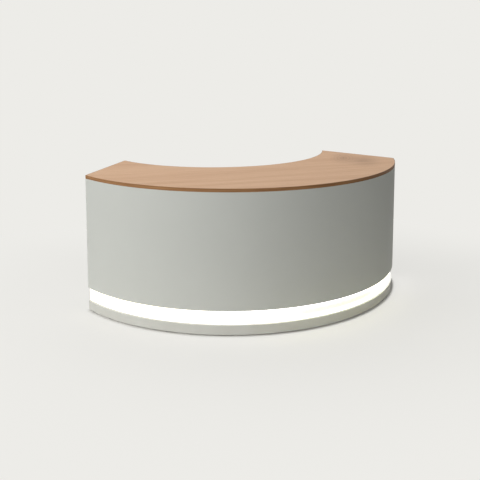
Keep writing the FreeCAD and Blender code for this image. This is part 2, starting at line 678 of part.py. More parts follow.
def make_lead():
    """Lead from the driver down the inner panel and forward to the light channel, held by clips."""
    lead = keep(new_body("led_lead", 1))
    section = new_sketch(lead, "XY_Plane", "driver_floor")
    add_circle(section, ("lead_across", "lead_down"), "lead_radius")
    route = new_sketch(lead, "YZ_Plane", "lead_across")
    down, level, bend = (value_of(formula) for formula in ("lead_down", "lead_level", "lead_bend"))
    start = FreeCAD.Vector(down, value_of("driver_floor"), 0)
    bend_start = FreeCAD.Vector(down, level + bend, 0)
    bend_end = FreeCAD.Vector(down - bend, level, 0)
    end = FreeCAD.Vector(value_of("lead_end"), level, 0)
    fall = route.addGeometry(Part.LineSegment(start, bend_start), False)
    around = Part.Circle(FreeCAD.Vector(down - bend, level + bend, 0), FreeCAD.Vector(0, 0, 1), bend)
    turn = route.addGeometry(Part.ArcOfCircle(around, -math.pi / 2, 0), False)
    run = route.addGeometry(Part.LineSegment(bend_end, end), False)
    route.addConstraint(Sketcher.Constraint("Tangent", fall, 2, turn, 2))
    route.addConstraint(Sketcher.Constraint("Tangent", run, 1, turn, 1))
    route.addConstraint(Sketcher.Constraint("Vertical", fall))
    pin_point(route, fall, 1, "lead_down", "driver_floor")
    pin_point(route, run, 2, "lead_end", "lead_level")
    set_size(route, "lead_bend", "Radius", turn)
    pipe = lead.newObject("PartDesign::AdditivePipe", "led_lead_pipe")
    pipe.Profile = section
    pipe.Spine = (route, ["Edge1", "Edge2", "Edge3"])
    clips = []
    for number in (1, 2):
        level = f"lead_level + (driver_floor - lead_level) * {number} / 3"
        clip = new_body(f"lead_clip_{number}", 1, level)
        low = ("lead_across - lead_radius - clip_wall", "lead_down - clip_width / 2")
        plan = rectangle(clip, "XY_Plane", low, ("knee_side", "lead_down + clip_width / 2"))
        add_circle(plan, ("lead_across", "lead_down"), "lead_radius")
        pad(clip, plan, "clip_height")
        clips.append(clip)
    group("lead_clips", clips)


def check_document():
    """Stop before writing anything if a feature failed or a sub-part has no sound solid."""
    for item in doc.Objects:
        if "Invalid" in item.State or "Error" in item.State:
            raise RuntimeError(f"{item.Label}: {item.State}")
    for node in nodes:
        if node.Shape.isNull() or not node.Shape.isValid() or not node.Shape.Solids:
            raise RuntimeError(f"{node.Label}: no valid solid")


def write_parts():
    os.makedirs(EXPORT_FOLDER, exist_ok=True)
    for node in nodes:
        node.Shape.exportStep(f"{EXPORT_FOLDER}/{node.Label}.step")


fill_sheet()
make_worktop()
make_front()
make_uprights()
make_cabinets()
make_drawers()
make_driver()
make_lead()
sheet.clear("D1")
doc.recompute()
check_document()
write_parts()
print(f"{len(nodes)} sub-parts, {sum(len(node.Shape.Solids) for node in nodes)} solids")
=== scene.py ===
import json
import math

import bmesh
import bpy
from mathutils import Matrix, Vector


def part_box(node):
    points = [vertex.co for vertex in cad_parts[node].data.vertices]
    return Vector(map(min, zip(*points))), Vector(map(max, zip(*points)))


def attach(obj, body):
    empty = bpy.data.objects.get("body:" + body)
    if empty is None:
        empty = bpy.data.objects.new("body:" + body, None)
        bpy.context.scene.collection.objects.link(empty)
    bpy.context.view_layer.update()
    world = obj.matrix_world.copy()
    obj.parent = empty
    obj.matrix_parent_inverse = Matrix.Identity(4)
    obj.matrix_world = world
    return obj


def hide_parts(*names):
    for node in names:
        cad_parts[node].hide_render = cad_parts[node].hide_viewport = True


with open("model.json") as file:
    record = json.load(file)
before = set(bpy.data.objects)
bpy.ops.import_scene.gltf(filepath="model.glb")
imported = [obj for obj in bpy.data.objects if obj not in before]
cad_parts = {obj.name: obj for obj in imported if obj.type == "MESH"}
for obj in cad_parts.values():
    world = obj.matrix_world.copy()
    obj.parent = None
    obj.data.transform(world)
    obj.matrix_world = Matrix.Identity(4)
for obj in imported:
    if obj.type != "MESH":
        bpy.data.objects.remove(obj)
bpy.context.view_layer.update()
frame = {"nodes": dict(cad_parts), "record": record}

# Sizes of the desk that the pieces here are set out from, in metres and radians
OUTER_RADIUS = 0.986
INNER_RADIUS = 0.693
INNER_SETBACK = 0.332
END_DISTANCE = 0.561
END_ANGLE = math.radians(34.4)
REAR_LINE = 0.0613
RIB_REACH = 0.1
SHEET = 0.002
DRAWER_WALL = 0.012
DRAWER_SCREW_INSET = (0.055, 0.03)
# Height above the floor of the band in which the plinth is darker
LOW_DARKENING_HEIGHT = 0.03
WELD = 0.000001

# Levelling feet and their threads
FOOT_TOP = 0.0052
FOOT_HEIGHT = 0.0352
FOOT_SINK = 0.0008
THREAD_PITCH = 0.00125
THREAD_CREST = 0.00395
THREAD_ROOT = 0.00325
THREAD_SIDES = 20

# Light channel: the diodes on its tape, and its end caps
DIODE_PITCH = 0.0166
DIODE_HALF = 0.0018
CAP_THICKNESS = 0.002
CAP_BEVEL = 0.0006
END_SLACK = 0.0005

# Screw heads: radius and height
BRACKET_SCREW = (0.0036, 0.0022)
SUPPORT_SCREW = (0.0026, 0.0016)
DRAWER_SCREW = (0.004, 0.0024)
CLIP_PIN = (0.0017, 0.001)
SCREW_SIDES = 24

# Places of screws and pins, as shares of the leg or the clip that they go through
WALL_SCREW_SHARE = 0.4
BOARD_SCREW_SHARE = 0.6
CLIP_PIN_SHARE = 0.18

# Marks in the worktop's grain: a knot, with a darker streak beside it
KNOT = (0.635, 0.205)
KNOT_REACH = (0.04, 0.12)
KNOT_PULL = (0.2, 0.16)
KNOT_RINGS = 13
STREAK = (0.7, 0.062)
STREAK_REACH = (0.13, 0.26)
MARK_TURN = 0.45

# Stretch across the desk over which shade is painted into the edge band: darker towards the right end, the
# side turned away from the light
EDGE_SHADE_SPAN = (-0.1, 0.9)

# Patterns in the finishes: repeats in a metre along each axis
OAK_FIGURE = (0.9, 15, 15)
OAK_STREAKS = (3.2, 105, 105)
OAK_FIBRES = (14, 620, 620)
OAK_PORES = (22, 900, 900)
BAND_STREAKS = (4, 4, 330)
BAND_FIBRES = (26, 26, 1600)
BIRCH_WAVES = (24, 3, 40)
BIRCH_FIBRES = (300, 14, 420)
LAMINATE_CLOUDS = (5, 5, 5)
LAMINATE_SKIN = (900, 900, 900)
PLINTH_LOW_PATCHES = (18, 18, 60)
STEEL_BRUSH = (30, 1400, 1400)
ZINC_DULL = (60, 60, 60)
COAT_CLOUDS = (30, 30, 30)
COAT_PEEL = (700, 700, 700)
OPAL_DRIFT = (1.2, 1.2, 1.2)
PLASTIC_FLOW = (35, 35, 12)
PLASTIC_SKIN = (1300, 1300, 1300)
SHEATH_SKIN = (2400, 2400, 2400)
RUNNER_CRYSTALS = 260
BRACKET_CRYSTALS = 420
SCREW_CRYSTALS = 1500

# Relief of the finishes, in metres
OAK_RELIEF = 0.0002
BAND_RELIEF = 0.00015
BIRCH_RELIEF = 0.0002
SKIN_RELIEF = 0.0001
BRUSH_RELIEF = 0.00005

# Shine of the laminates, where 0.5 is that of ordinary plastic, and how much darker the plinth grows near
# the floor
MATT_SHINE = 0.08
PLINTH_SHINE = 0.5
PLINTH_LOW_DARKENING = 0.6

# Camera, set at the photograph's viewpoint
CAMERA_PLACE = (-1.4172, -4.0354, 1.504)
CAMERA_TILT = 0.13
CAMERA_TURN = 0.3175
CAMERA_LENS = 58.59
CAMERA_SHIFT = -0.22

# Light: a broad glow from the left of the room, three softboxes, and a pale room all round
GLOW_TURN = math.radians(-72)
GLOW_RISE = math.radians(28)
GLOW_LEVEL = 0.226
GLOW_SWING = 0.21
GLOW_COLOUR = (1, 0.995, 0.98, 1)
SOFTBOX_AIM = (0.0, 0.0, 0.45)
SOFTBOX_SIZE = (2.6, 2.0)
LEFT_BOX = ((-4.2, -0.8, 2.4), 92)
FRONT_BOX = ((-1.5, -4.2, 2.4), 44)
REAR_BOX = ((0.4, 1.8, 3.7), 45)
FLOOR_SIZE = 400
FLOOR_SHADE_SHARE = 0.22
FLOOR_CONTACT_SHARE = 1.0
FLOOR_CONTACT = (0.0, 0.016)
FLOOR_FADE = (0.1, 1.4)
FLOOR_BOUNCE = (0.95, 0.93, 0.88, 1)
FLOOR_BOUNCE_FAR = (0.42, 0.42, 0.4, 1)
FLOOR_BOUNCE_FADE = (0.15, 1.1)

# Lit strip: its strength, and the stretches along the arc in which it grows stronger and warmer
LIT_STRENGTH = 3.8
LIT_RISES = (-0.9, 0.7)
LIT_WARMS = (-0.3, 0.1)
LIT_WARM_ENDS = (0.5, 1.2)

front_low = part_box("front_panel")[0]
plinth_low, plinth_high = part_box("plinth_panel")
arc_centre = Vector((0, front_low.y + OUTER_RADIUS, 0))
pieces_body = "desk"


# Colours

def tone(red, green, blue):
    """A colour given as screen values from 0 to 255, as the linear colour that a node takes."""
    shares = [value / 255 for value in (red, green, blue)]
    linear = [share / 12.92 if share < 0.04045 else ((share + 0.055) / 1.055) ** 2.4 for share in shares]
    return (*linear, 1)


ROOM = tone(237, 236, 232)
OAK_PALE = tone(223, 183, 147)
OAK_MIDDLE = tone(214, 172, 135)
OAK_DARK = tone(197, 151, 114)
OAK_PORE = tone(158, 116, 82)
OAK_KNOT = tone(118, 82, 58)
OAK_MARK = tone(140, 101, 72)
EDGE_PALE = tone(168, 126, 86)
EDGE_DARK = tone(129, 90, 58)
# Painted shade: the edge band's tone at its shaded right end
EDGE_PAINTED_SHADE = tone(82, 56, 36)
GREY_FRONT = tone(198, 200, 195)
GREY_FRONT_DEEP = tone(197, 199, 194)
GREY_PLINTH = tone(198, 199, 194)
GREY_PLINTH_DEEP = tone(193, 193, 187)
GREY_BOARD = tone(192, 194, 189)
GREY_BOARD_DEEP = tone(189, 191, 186)
BIRCH_PALE = tone(228, 205, 170)
BIRCH_DARK = tone(204, 174, 134)
STEEL = tone(196, 197, 198)
STEEL_DEEP = tone(160, 162, 164)
ZINC_PALE = tone(206, 208, 210)
ZINC_DEEP = tone(168, 172, 176)
WHITE_COAT = tone(232, 232, 228)
WHITE_COAT_DEEP = tone(220, 220, 215)
PLASTIC_WHITE = tone(226, 226, 221)
PLASTIC_WHITE_DEEP = tone(212, 212, 206)
PLASTIC_BLACK = tone(38, 38, 39)
PLASTIC_BLACK_DEEP = tone(26, 26, 27)
OPAL = tone(247, 247, 243)
LIT_LEFT = tone(156, 150, 133)
LIT_RIGHT = tone(250, 249, 255)
LIT_WARM = tone(235, 230, 97)
LIT_EDGE = tone(90, 88, 85)
DIODE = tone(240, 214, 92)
TAPE = tone(236, 234, 224)
COPPER = tone(196, 140, 96)


# Shader expressions

class Field:
    """A value over a surface: one output of a node, with operators that add Math nodes."""

    def __init__(self, tree, output=None):
        self.tree = tree
        self.output = output

    def node(self, kind, settings=None, inputs=None, output=0):
        """Add a node: its settings first, then the values or links of its sockets."""
        made = self.tree.nodes.new("ShaderNode" + kind)
        for name, value in (settings or {}).items():
            if name == "stops":
                for number, (place, colour) in enumerate(value):
                    elements = made.color_ramp.elements
                    stop = elements[number] if number < 2 else elements.new(place)
                    stop.position = place
                    stop.color = colour
            else:
                setattr(made, name, value)
        for name, value in (inputs or {}).items():
            if isinstance(value, Field):
                self.tree.links.new(value.output, made.inputs[name])
            else:
                made.inputs[name].default_value = value
        return Field(self.tree, made.outputs[output] if made.outputs else None)

    def math(self, operation, first, second):
        return self.node("Math", {"operation": operation}, {0: first, 1: second})

    def __add__(self, other):
        return self.math("ADD", self, other)

    def __radd__(self, other):
        return self.math("ADD", other, self)

    def __sub__(self, other):
        return self.math("SUBTRACT", self, other)

    def __rsub__(self, other):
        return self.math("SUBTRACT", other, self)

    def __mul__(self, other):
        return self.math("MULTIPLY", self, other)

    def __rmul__(self, other):
        return self.math("MULTIPLY", other, self)

    def __truediv__(self, other):
        return self.math("DIVIDE", self, other)

    def __rtruediv__(self, other):
        return self.math("DIVIDE", other, self)

    def __pow__(self, other):
        return self.math("POWER", self, other)


def axes(place):
    """The three coordinates of a place, one by one."""
    split = place.node("SeparateXYZ", inputs={0: place}, output="X")
    outputs = split.output.node.outputs
    return [Field(place.tree, outputs[name]) for name in ("X", "Y", "Z")]


def vector(across, along, up):
    sample = next(value for value in (across, along, up) if isinstance(value, Field))
    return sample.node("CombineXYZ", inputs={"X": across, "Y": along, "Z": up})


def stretched(place, sizes):
    """The place scaled along each axis, so that a pattern is drawn out along one of them."""
    return place.node("VectorMath", {"operation": "MULTIPLY"}, {0: place, 1: sizes})


def turned(place, angle):
    """The place turned about the upright axis through the arc centre, into a cabinet's own directions."""
    inputs = {"Vector": place, "Center": arc_centre, "Angle": angle}
    return place.node("VectorRotate", {"rotation_type": "Z_AXIS"}, inputs)


def noise(place, sizes, detail=3, roughness=0.55, distortion=0):
    inputs = {
        "Vector": stretched(place, sizes),
        "Scale": 1,
        "Detail": detail,
        "Roughness": roughness,
        "Distortion": distortion,
    }
    return place.node("TexNoise", inputs=inputs, output="Fac")


def between(value, low, high, smooth=True):
    """0 where the value is under low and 1 where it is over high."""
    inputs = {"Value": value, "From Min": low, "From Max": high}
    return value.node("MapRange", {"interpolation_type": "SMOOTHSTEP" if smooth else "LINEAR"}, inputs)


def mix(share, first, second):
    """The second colour where share is 1, the first where it is 0."""
    return share.node("Mix", {"data_type": "RGBA"}, {0: share, 6: first, 7: second}, output=2)


def bumped(height, distance, strength=1.0):
    inputs = {"Height": height, "Distance": distance, "Strength": strength}
    return height.node("Bump", inputs=inputs, output="Normal")


def off_centre(place, centre, reach, turn=0):
    """Distance from a centre in plan, as a share of the reach along each of two turned axes."""
    across, along, _ = axes(place)
    right = across - centre[0]
    back = along - centre[1]
    slant_right = (right * math.cos(turn) - back * math.sin(turn)) / reach[0]
    slant_back = (right * math.sin(turn) + back * math.cos(turn)) / reach[1]
    return (slant_right * slant_right + slant_back * slant_back) ** 0.5


def spot(place, centre, reach, turn=0):
    """1 at a centre in plan, falling to 0 at the reach along each of two turned axes."""
    return 1 - between(off_centre(place, centre, reach, turn), 0, 1)


def new_finish(name):
    """An empty material, and the place on the piece that it is on."""
    material = bpy.data.materials.new(name)
    material.use_nodes = True
    material.node_tree.nodes.clear()
    return material, Field(material.node_tree).node("TexCoord", output="Object")


def surface(place, **inputs):
    """Close a material with its shader. Names stand for sockets, with _ for a space."""
    sockets = {name.replace("_", " "): value for name, value in inputs.items()}
    shader = place.node("BsdfPrincipled", inputs=sockets)
    place.node("OutputMaterial", inputs={"Surface": shader})


# Wood

def oak_board():
    """Satin oak board: grain along the desk, darker figure, fine pores, and a knot with its streak."""
    material, place = new_finish("oak_board")
    across, along, up = axes(place)
    bent = along - (along - KNOT[1]) * spot(place, KNOT, KNOT_PULL) * 0.55
    grain = vector(across, bent, up)
    figure = noise(grain, OAK_FIGURE, detail=4, distortion=0.35)
    streaks = noise(grain, OAK_STREAKS, detail=5, roughness=0.66)
    fibres = noise(grain, OAK_FIBRES, detail=2)
    pores = between(noise(grain, OAK_PORES, detail=1), 0.62, 0.75)
    shade = figure * 0.42 + streaks * 0.58
    stops = [(0.34, OAK_DARK), (0.5, OAK_MIDDLE), (0.66, OAK_PALE)]
    colour = place.node("ValToRGB", {"stops": stops}, {"Fac": shade})
    colour = mix(between(fibres, 0.3, 0.75) * 0.22, colour, OAK_DARK)
    colour = mix(pores * 0.4, colour, OAK_PORE)
    streaked = spot(place, STREAK, STREAK_REACH, MARK_TURN) * (0.25 + between(streaks, 0.36, 0.6) * 0.75)
    colour = mix(streaked * 0.62, colour, OAK_MARK)
    from_knot = off_centre(place, KNOT, KNOT_REACH, MARK_TURN) + figure * 0.35
    rings = from_knot.math("SINE", from_knot * KNOT_RINGS, 0) * 0.3 + 0.7
    halo = (1 - between(from_knot, 0.5, 2.6)) * rings
    colour = mix(halo * 0.4, colour, OAK_MARK)
    colour = mix((1 - between(from_knot, 0.1, 0.6)) * rings * 0.7, colour, OAK_KNOT)
    roughness = 0.42 + fibres * 0.14
    height = fibres * 0.5 - pores
    surface(
        place,
        Base_Color=colour,
        Roughness=roughness,
        Specular_IOR_Level=0.2,
        Normal=bumped(height, OAK_RELIEF, 0.5),
    )
    return material


def oak_band():
    """Edge band: darker oak with its grain along the edge, and painted shade that darkens it towards the
    right end.
    """
    material, place = new_finish("oak_band")
    across, _, _ = axes(place)
    streaks = noise(place, BAND_STREAKS, detail=4, roughness=0.6)
    fibres = noise(place, BAND_FIBRES, detail=2)
    colour = mix(between(streaks, 0.3, 0.7), EDGE_DARK, EDGE_PALE)
    colour = mix(between(fibres, 0.45, 0.8) * 0.4, colour, OAK_PORE)
    # Painted shade: the band darkens towards its right end, where less light falls
    colour = mix(between(across, *EDGE_SHADE_SPAN) * 0.5, colour, EDGE_PAINTED_SHADE)
    surface(
        place,
        Base_Color=colour,
        Roughness=0.5 + fibres * 0.14,
        Specular_IOR_Level=0.15,
        Normal=bumped(fibres, BAND_RELIEF, 0.4),
    )
    return material


def birch_board():
    """Drawer box: pale birch with faint wavy grain along the sides."""
    material, place = new_finish("birch_board")
    grain = turned(place, -END_ANGLE)
    waves = noise(grain, BIRCH_WAVES, detail=4, distortion=0.8)
    fibres = noise(grain, BIRCH_FIBRES, detail=2)
    colour = mix(between(waves, 0.32, 0.7), BIRCH_DARK, BIRCH_PALE)
    colour = mix(between(fibres, 0.5, 0.8) * 0.35, colour, BIRCH_DARK)
    roughness = 0.5 + fibres * 0.15
    surface(place, Base_Color=colour, Roughness=roughness, Normal=bumped(fibres, BIRCH_RELIEF, 0.4))
    return material


# Painted and laminated boards

def matt_laminate(name, colour, deep, shine=MATT_SHINE, low_darkening=0):
    """Matt grey laminate: faint clouds in its colour, a fine pebbled skin, and, where asked, darker
    patches near the floor.
    """
    material, place = new_finish(name)
    clouds = noise(place, LAMINATE_CLOUDS, detail=3)
    skin = noise(place, LAMINATE_SKIN, detail=2)
    skin_colour = mix(between(clouds, 0.3, 0.7), deep, colour)
    if low_darkening:
        _, _, up = axes(place)
        patches = noise(place, PLINTH_LOW_PATCHES, detail=4)
        # Darker in patches in a low band just above the floor
        low = (1 - between(up, plinth_low.z, plinth_low.z + LOW_DARKENING_HEIGHT)) * between(patches, 0.4, 0.7)
        skin_colour = mix(low * low_darkening, skin_colour, deep)
    roughness = 0.5 + clouds * 0.08 + skin * 0.08
    surface(
        place,
        Base_Color=skin_colour,
        Roughness=roughness,
        Specular_IOR_Level=shine,
        Normal=bumped(skin, SKIN_RELIEF, 0.35),
    )
    return material


def front_laminate():
    return matt_laminate("front_laminate", GREY_FRONT, GREY_FRONT_DEEP)


def plinth_laminate():
    looks = {"shine": PLINTH_SHINE, "low_darkening": PLINTH_LOW_DARKENING}
    return matt_laminate("plinth_laminate", GREY_PLINTH, GREY_PLINTH_DEEP, **looks)


def carcass_board():
    return matt_laminate("carcass_board", GREY_BOARD, GREY_BOARD_DEEP)


def drawer_laminate():
    return matt_laminate("drawer_laminate", GREY_FRONT, GREY_BOARD)


# Metals

def brushed_steel():
    """Drawer pulls: steel brushed along the bar."""
    material, place = new_finish("brushed_steel")
    brush = noise(turned(place, -END_ANGLE), STEEL_BRUSH, detail=3)
    colour = mix(brush, STEEL_DEEP, STEEL)
    roughness = 0.24 + brush * 0.16
    relief = bumped(brush, BRUSH_RELIEF, 0.5)
    surface(place, Base_Color=colour, Metallic=1.0, Roughness=roughness, Normal=relief)
    return material


def zinc_plate(name, crystals):
    """Zinc-plated sheet: crystals of slightly different grey, with a dull cloud over them."""
    material, place = new_finish(name)
    cells = place.node("TexVoronoi", inputs={"Vector": place, "Scale": crystals}, output="Color")
    spangle, _, _ = axes(cells)
    dull = noise(place, ZINC_DULL, detail=3)
    colour = mix(spangle * 0.7 + dull * 0.3, ZINC_DEEP, ZINC_PALE)
    roughness = 0.3 + spangle * 0.1 + dull * 0.12
    relief = bumped(dull, SKIN_RELIEF, 0.3)
    surface(place, Base_Color=colour, Metallic=1.0, Roughness=roughness, Normal=relief)
    return material


def runner_zinc():
    return zinc_plate("runner_zinc", RUNNER_CRYSTALS)


def bracket_zinc():
    return zinc_plate("bracket_zinc", BRACKET_CRYSTALS)


def screw_zinc():
    return zinc_plate("screw_zinc", SCREW_CRYSTALS)


def white_coat():
    """Light channel: white powder coat on aluminium."""
    material, place = new_finish("white_coat")
    peel = noise(place, COAT_PEEL, detail=2)
    colour = mix(noise(place, COAT_CLOUDS), WHITE_COAT_DEEP, WHITE_COAT)
    roughness = 0.45 + peel * 0.15
    surface(place, Base_Color=colour, Roughness=roughness, Normal=bumped(peel, SKIN_RELIEF, 0.4))
    return material


# Light

def round_the_arc(place):
    """Distance along the front arc from the symmetry plane."""
    across, along, _ = axes(place)
    turn = across.math("ARCTAN2", across, arc_centre.y - along)
    return turn * OUTER_RADIUS


def opal_strip():
    """Lit opal strip: dimmer along its edges, stronger to the right, and warmer there along its middle."""
    material, place = new_finish("opal_strip")
    _, _, up = axes(place)
    middle = (plinth_high.z + front_low.z) / 2
    half = (front_low.z - plinth_high.z) / 2
    off_middle = (up - middle) / half
    off_square = off_middle * off_middle
    edge = between(off_square, 0.6, 0.98)
    run = round_the_arc(place)
    warm_stretch = between(run, *LIT_WARMS) * (1 - between(run, *LIT_WARM_ENDS))
    warm = warm_stretch * (1 - between(off_square, 0.0, 0.7))
    drift = noise(place, OPAL_DRIFT, detail=1)
    glow = mix(between(run, *LIT_RISES), LIT_LEFT, LIT_RIGHT)
    glow = mix(edge, mix(warm, glow, LIT_WARM), LIT_EDGE)
    milk = mix(drift, OPAL, WHITE_COAT)
    surface(
        place,
        Base_Color=milk,
        Roughness=0.35 + drift * 0.1,
        Emission_Color=glow,
        Emission_Strength=LIT_STRENGTH,
    )
    return material


def diode_tape():
    """Light tape: pale strip with a row of diodes between copper pads."""
    material, place = new_finish("diode_tape")
    run = round_the_arc(place)
    _, _, up = axes(place)
    off_middle = (up - (plinth_high.z + front_low.z) / 2) / DIODE_HALF
    cell = run.math("FRACT", run / DIODE_PITCH, 0) - 0.5
    body = (1 - between(cell * cell, 0.006, 0.009)) * (1 - between(off_middle * off_middle, 0.9, 1.1))
    pads = between(cell * cell, 0.2, 0.22) * (1 - between(off_middle * off_middle, 2.6, 3.0))
    colour = mix(pads, TAPE, COPPER)
    colour = mix(body, colour, DIODE)
    surface(place, Base_Color=colour, Roughness=0.5 - body * 0.2, Metallic=pads * 0.8)
    return material


# Plastics

def moulded(name, colour, deep, grain=PLASTIC_SKIN):
    """Moulded plastic: fine spark-eroded skin and faint flow marks."""
    material, place = new_finish(name)
    skin = noise(place, grain, detail=2)
    flow = noise(place, PLASTIC_FLOW, detail=2)
    shade = mix(flow, deep, colour)
    roughness = 0.42 + skin * 0.18
    surface(place, Base_Color=shade, Roughness=roughness, Normal=bumped(skin, SKIN_RELIEF, 0.4))
    return material


def driver_plastic():
    return moulded("driver_plastic", PLASTIC_WHITE, PLASTIC_WHITE_DEEP)


def switch_plastic():
    return moulded("switch_plastic", PLASTIC_BLACK, PLASTIC_BLACK_DEEP)


def lead_sheath():
    return moulded("lead_sheath", PLASTIC_WHITE, PLASTIC_WHITE_DEEP, grain=SHEATH_SKIN)


def foot_plastic():
    """Levelling foot: black moulded pad on a zinc-plated screw."""
    material, place = new_finish("foot_plastic")
    _, _, up = axes(place)
    skin = noise(place, PLASTIC_SKIN, detail=2)
    screw = between(up, FOOT_TOP, FOOT_TOP + THREAD_PITCH / 10)
    colour = mix(skin, PLASTIC_BLACK_DEEP, PLASTIC_BLACK)
    colour = mix(screw, colour, mix(skin, ZINC_DEEP, ZINC_PALE))
    roughness = 0.5 - screw * 0.15
    relief = bumped(skin, SKIN_RELIEF, 0.4)
    surface(place, Base_Color=colour, Metallic=screw, Roughness=roughness, Normal=relief)
    return material


FINISHES = {
    "oak_top": oak_board(),
    "oak_edge": oak_band(),
    "front_lacquer": front_laminate(),
    "plinth_lacquer": plinth_laminate(),
    "channel_metal": white_coat(),
    "tape": diode_tape(),
    "opal": opal_strip(),
    "board": carcass_board(),
    "drawer_face": drawer_laminate(),
    "drawer_board": birch_board(),
    "pull_steel": brushed_steel(),
    "runner_steel": runner_zinc(),
    "bracket_steel": bracket_zinc(),
    "foot_black": foot_plastic(),
    "driver_white": driver_plastic(),
    "switch_black": switch_plastic(),
    "lead_white": lead_sheath(),
}
SCREW_FINISH = screw_zinc()


def dress_nodes():
    """Give each sub-part its finish."""
    for part in frame["record"]["subparts"]:
        piece = frame["nodes"][part["node"]]
        piece.data.materials.clear()
        piece.data.materials.append(FINISHES[part["material_slot"]])


# Small pieces

def new_piece(name, mesh, body, finish):
    """A finished mesh as a piece that moves with a body."""
    data = bpy.data.meshes.new(name)
    bmesh.ops.recalc_face_normals(mesh, faces=mesh.faces)
    mesh.to_mesh(data)
    mesh.free()
    data.materials.append(finish)
    piece = bpy.data.objects.new(name, data)
    bpy.context.scene.collection.objects.link(piece)
    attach(piece, body)
    return piece


def cabinet_matrix(turn):
    """From a cabinet's directions to the desk's: 1 for the right, -1 for the left, 0 for the rib."""
    return Matrix.Translation(arc_centre) @ Matrix.Rotation(turn * END_ANGLE, 4, "Z")


def solids_of(node):
    """The corner points of each separate solid in a sub-part."""
    mesh = bmesh.new()
    mesh.from_mesh(frame["nodes"][node].data)
    bmesh.ops.remove_doubles(mesh, verts=mesh.verts, dist=WELD)
    waiting = set(mesh.verts)
    solids = []
    while waiting:
        front = [waiting.pop()]
        solid = list(front)
        while front:
            corner = front.pop()
            near = {edge.other_vert(corner) for edge in corner.link_edges} & waiting
            waiting -= near
            front += near
            solid += near
        solids.append([corner.co.copy() for corner in solid])
    mesh.free()
    return solids


def extent(points):
    """The lowest and the highest coordinates of some points."""
    low = Vector(min(point[axis] for point in points) for axis in range(3))
    high = Vector(max(point[axis] for point in points) for axis in range(3))
    return low, high


def add_screw(mesh, seat, axis, size):
    """A domed screw head with a cross recess, standing on its seat along an axis."""
    radius, height = size
    sides = SCREW_SIDES
    rings = ((1.0, 0.0), (1.0, 0.3), (0.9, 0.68), (0.7, 0.9), (0.42, 1.0), (0.2, 1.0))
    recess_depth = 0.55
    recess_reach = 0.5
    stand = Matrix.Translation(seat) @ axis.to_track_quat("Z", "Y").to_matrix().to_4x4()
    rows = []
    for reach, rise in rings:
        row = []
        for side in range(sides):
            angle = 2 * math.pi * side / sides
            slotted = reach < recess_reach and side % (sides // 4) == 0
            level = rise - recess_depth if slotted else rise
            out = Vector((math.cos(angle), math.sin(angle), 0)) * radius * reach
            row.append(mesh.verts.new(stand @ (out + Vector((0, 0, height * level)))))
        rows.append(row)
    for outer, inner in zip(rows, rows[1:]):
        for side in range(sides):
            following = (side + 1) % sides
            mesh.faces.new((outer[side], outer[following], inner[following], inner[side]))
    mesh.faces.new(list(reversed(rows[0])))
    centre = mesh.verts.new(stand @ Vector((0, 0, height * (1 - recess_depth))))
    for side in range(sides):
        mesh.faces.new((rows[-1][side], rows[-1][(side + 1) % sides], centre))


def angle_screws(name, node, size, turn_of):
    """A screw through each leg of every bent angle in a sub-part."""
    mesh = bmesh.new()
    for solid in solids_of(node):
        middle = sum(solid, Vector()) / len(solid)
        stand = cabinet_matrix(turn_of(middle))
        inside = [stand.inverted() @ corner for corner in solid]
        low, high = extent(inside)
        foot = [corner.x for corner in inside if corner.z < low.z + SHEET / 2]
        on_high_side = sum(foot) / len(foot) > (low.x + high.x) / 2
        wall = high.x if on_high_side else low.x
        out = -1 if on_high_side else 1
        leg = high.z - low.z
        depth = (low.y + high.y) / 2
        wall_seat = stand @ Vector((wall + out * SHEET, depth, low.z + leg * WALL_SCREW_SHARE))
        add_screw(mesh, wall_seat, stand.to_3x3() @ Vector((out, 0, 0)), size)
        board_seat = stand @ Vector((wall + out * leg * BOARD_SCREW_SHARE, depth, high.z - SHEET))
        add_screw(mesh, board_seat, Vector((0, 0, -1)), size)
    return new_piece(name, mesh, pieces_body, SCREW_FINISH)


def side_of(point):
    """1 for the right cabinet, -1 for the left one, 0 for the rib in the middle."""
    if abs(point.x) < RIB_REACH:
        return 0
    return 1 if point.x > 0 else -1


def drawer_screws(number):
    """Four screws inside a drawer that hold its front to its box."""
    stand = cabinet_matrix(1)
    corners = frame["nodes"][f"drawer_{number}_box"].data.vertices
    box = [stand.inverted() @ corner.co for corner in corners]
    low, high = extent(box)
    mesh = bmesh.new()
    inset, rise = DRAWER_SCREW_INSET
    for across in (low.x + inset, high.x - inset):
        for level in (low.z + rise, high.z - rise):
            seat = stand @ Vector((across, high.y - DRAWER_WALL, level))
            add_screw(mesh, seat, stand.to_3x3() @ Vector((0, -1, 0)), DRAWER_SCREW)
    return new_piece(f"drawer_{number}_screws", mesh, f"drawer_{number}", SCREW_FINISH)


def light_end_cap(name, side):
    """Cap that closes an end of the light channel."""
    stand = cabinet_matrix(side)
    face_low, face_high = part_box("light_diffuser")
    channel = [stand.inverted() @ corner.co for corner in frame["nodes"]["light_channel"].data.vertices]
    diffuser = [stand.inverted() @ corner.co for corner in frame["nodes"]["light_diffuser"].data.vertices]
    end = max(side * corner.x for corner in channel)
    at_end = [corner for corner in channel + diffuser if side * corner.x > end - END_SLACK]
    low = Vector((end, min(corner.y for corner in at_end), face_low.z))
    high = Vector((end + CAP_THICKNESS, max(corner.y for corner in at_end), face_high.z))
    mesh = bmesh.new()
    bmesh.ops.create_cube(mesh, size=1)
    size = high - low
    middle = (low + high) / 2
    middle.x *= side
    shape = stand @ Matrix.Translation(middle) @ Matrix.Diagonal((*size, 1))
    bmesh.ops.transform(mesh, matrix=shape, verts=mesh.verts)
    bmesh.ops.bevel(mesh, geom=mesh.edges, offset=CAP_BEVEL, segments=2, affect="EDGES")
    return new_piece(name, mesh, pieces_body, FINISHES["channel_metal"])


